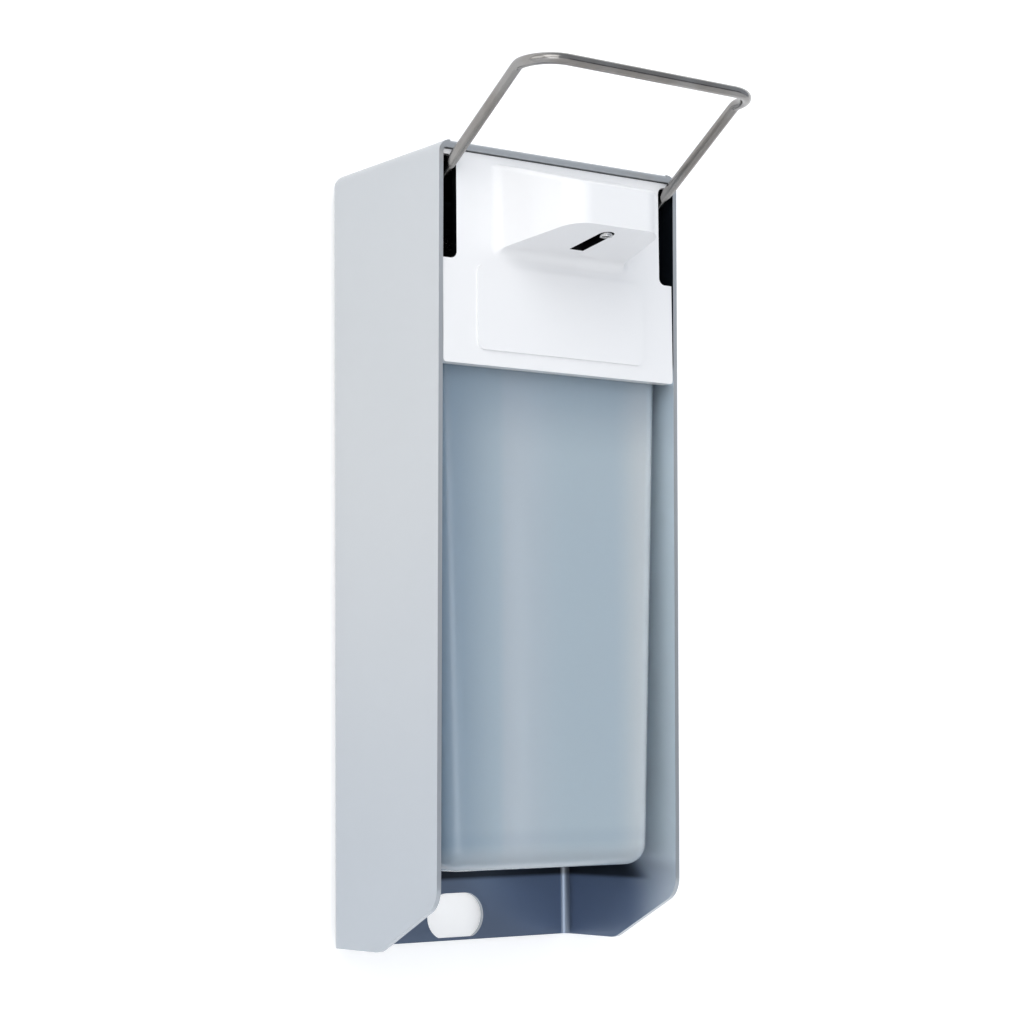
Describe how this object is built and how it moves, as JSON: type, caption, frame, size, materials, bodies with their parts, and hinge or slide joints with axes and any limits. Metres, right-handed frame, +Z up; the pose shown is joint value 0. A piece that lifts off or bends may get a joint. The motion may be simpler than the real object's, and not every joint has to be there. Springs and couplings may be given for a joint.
{
  "type": "wall soap dispenser",
  "caption": "Wall soap dispenser in folded sheet metal with a white nosed cover and a bent wire arm lever that presses the pump of a bottle.",
  "frame": {"origin": "middle of the four wall screws, on the wall", "axes": "+X to the right for someone facing the dispenser, +Y into the wall, +Z up"},
  "size_m": [0.092, 0.1141, 0.2624],
  "materials": {
    "anodised_sheet": "satin anodised",
    "zinc_plate": "zinc plated",
    "steel_screw": "satin",
    "alloy_rivet": "satin",
    "dark_moulding": "fine texture",
    "white_moulding": "smooth",
    "acetal": "smooth",
    "white_pump_plastic": "smooth",
    "clear_pump_plastic": "natural",
    "tube_plastic": "natural",
    "bottle_plastic": "natural, cloudy",
    "seal_rubber": "smooth",
    "nylon": "smooth",
    "satin_steel": "satin",
    "steel_tube": "polished",
    "spring_wire": "bright",
    "ball_steel": "polished"
  },
  "bodies": {
    "stand": {"housing": "anodised_sheet", "wall_plate": "zinc_plate", "lock_screw": "steel_screw", "chassis": "dark_moulding", "chassis_rivets": "alloy_rivet", "front_cover": "white_moulding", "pivot_bushes": "acetal", "pump_head": "white_pump_plastic", "rod_guide": "acetal", "rod_wiper": "seal_rubber", "neck_gasket": "seal_rubber", "pump_cylinder": "clear_pump_plastic", "pump_jacket": "clear_pump_plastic", "inlet_valve": "white_pump_plastic", "dip_tube": "tube_plastic", "outlet_tube": "steel_tube", "outlet_nut": "white_pump_plastic", "bottle": "bottle_plastic", "return_spring": "spring_wire", "outlet_spring": "spring_wire"},
    "lever": {"lever_bail": "satin_steel", "retaining_rings": "spring_wire", "press_bar": "satin_steel", "press_sleeve": "nylon"},
    "plunger": {"press_cap": "white_pump_plastic", "piston_rod": "steel_tube", "piston": "acetal", "piston_seal": "seal_rubber"},
    "inlet_check": {"inlet_ball": "ball_steel"},
    "outlet_check": {"outlet_ball": "ball_steel"}
  },
  "joints": [
    {"name": "lever_pivot", "type": "hinge", "parent": "stand", "child": "lever", "pos_m": [0, -0.0145, 0.081], "axis": [1, 0, 0], "range_deg": [0, 26], "stiffness_Nm_per_rad": 0.6, "springref_deg": -20.05},
    {"name": "plunger_slide", "type": "slide", "parent": "stand", "child": "plunger", "axis": [0, 0, -1], "range_m": [0, 0.01106], "deforming": ["return_spring"]},
    {"name": "inlet_ball_lift", "type": "slide", "parent": "stand", "child": "inlet_check", "axis": [0, 0, 1], "range_m": [0, 0.0022]},
    {"name": "outlet_ball_lift", "type": "slide", "parent": "stand", "child": "outlet_check", "axis": [0, 0, 1], "range_m": [0, 0.0008], "stiffness_N_per_m": 40, "springref_m": -0.003, "deforming": ["outlet_spring"]}
  ],
  "couplings": [
    {"joint": "plunger_slide", "follows": "lever_pivot", "m_per_rad": 0.02435}
  ]
}
